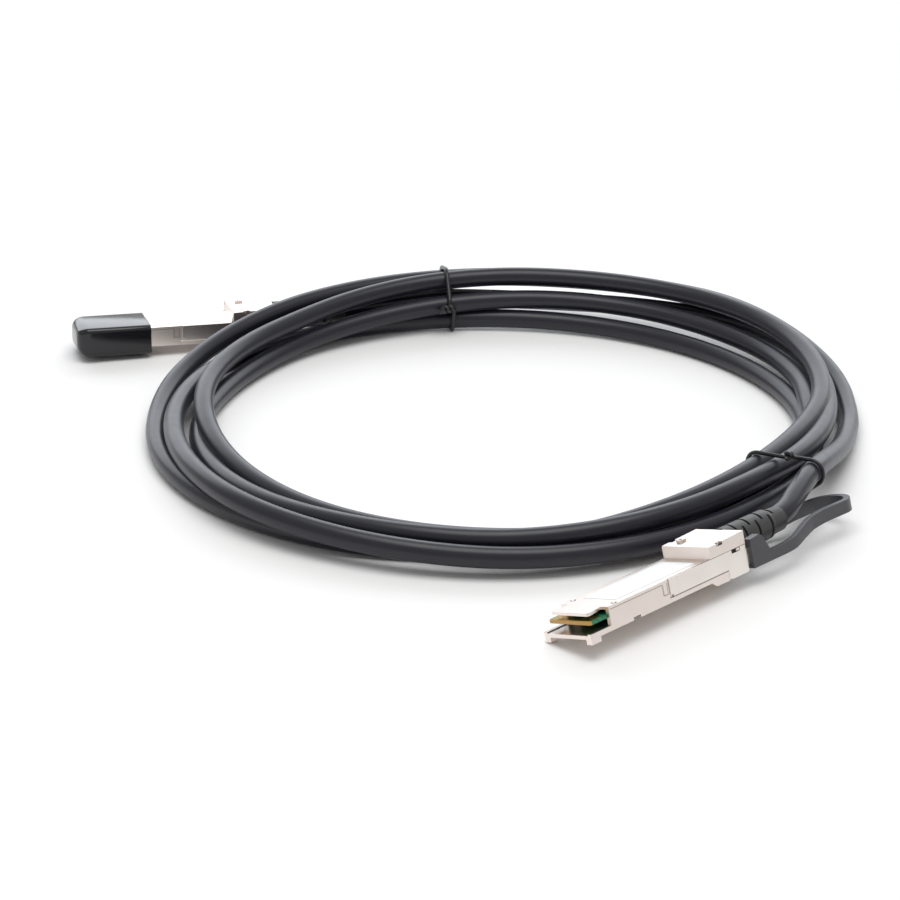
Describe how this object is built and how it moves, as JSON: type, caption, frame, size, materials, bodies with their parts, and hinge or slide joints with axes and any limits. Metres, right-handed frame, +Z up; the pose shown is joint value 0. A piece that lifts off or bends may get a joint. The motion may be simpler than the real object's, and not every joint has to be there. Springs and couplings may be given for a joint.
{
  "type": "direct attach copper cable",
  "caption": "Direct attach copper cable: nickel-plated pluggable modules with sprung latch sliders, loop pull tabs and slotted strain reliefs, joined by a tied coil of black twin-axial cable",
  "frame": {"origin": "bottom centre of the box that holds the two modules with their tabs and cap, on the plane that the object lies on", "axes": "+Z up from the resting plane; +Y away from the near module, towards the far side of the coil; +X to the right with the near module in front"},
  "size_m": [0.2748, 0.2993, 0.0233],
  "materials": {
    "nickel_shell": "satin nickel plate on die-cast zinc",
    "steel_sheet": "stamped stainless sheet and spring wire",
    "board": "solder mask on glass laminate",
    "gold": "hard gold plate",
    "potting": "clear amber potting",
    "pair_jacket": "foil-wrapped pairs",
    "braid": "tinned braid over foil",
    "ferrule": "tinned crimp sleeve",
    "label": "blank polyester label",
    "tab_moulding": "dark grey satin moulding",
    "relief_moulding": "dark grey soft moulding",
    "cap_moulding": "glossy black moulding",
    "cable_jacket": "satin black jacket",
    "tie_wire": "black plastic-coated wire"
  },
  "bodies": {
    "root": {"near_lower_shell": "nickel_shell", "far_lower_shell": "nickel_shell", "near_upper_shell": "nickel_shell", "far_upper_shell": "nickel_shell", "near_paddle_card": "board", "far_paddle_card": "board", "near_card_contacts": "gold", "far_card_contacts": "gold", "near_solder_potting": "potting", "far_solder_potting": "potting", "near_wire_pairs": "pair_jacket", "far_wire_pairs": "pair_jacket", "near_shield_bundle": "braid", "far_shield_bundle": "braid", "near_crimp_ferrule": "ferrule", "far_crimp_ferrule": "ferrule", "near_identity_label": "label", "far_identity_label": "label", "near_latch_springs": "steel_sheet", "far_latch_springs": "steel_sheet", "near_strain_relief": "relief_moulding", "far_strain_relief": "relief_moulding", "cable_coil": "cable_jacket", "near_lead": "cable_jacket", "far_lead": "cable_jacket", "front_tie": "tie_wire", "back_tie": "tie_wire"},
    "near_latch": {"near_latch_slider": "steel_sheet", "near_pull_tab": "tab_moulding"},
    "far_latch": {"far_latch_slider": "steel_sheet", "far_pull_tab": "tab_moulding"},
    "far_cap": {"far_dust_cap": "cap_moulding"}
  },
  "joints": [
    {"name": "near_latch_slide", "type": "slide", "parent": "root", "child": "near_latch", "axis": [0.6984, 0.7157, 0], "range_m": [0, 0.002], "stiffness_N_per_m": 600, "springref_m": -0.001, "deforming": ["near_latch_springs"]},
    {"name": "far_latch_slide", "type": "slide", "parent": "root", "child": "far_latch", "axis": [0.9643, 0.2638, -0.0248], "range_m": [0, 0.002], "stiffness_N_per_m": 600, "springref_m": -0.001, "deforming": ["far_latch_springs"]},
    {"name": "far_cap_pull", "type": "slide", "parent": "root", "child": "far_cap", "axis": [-0.9643, -0.2638, 0.0248], "range_m": [0, 0.03]}
  ]
}
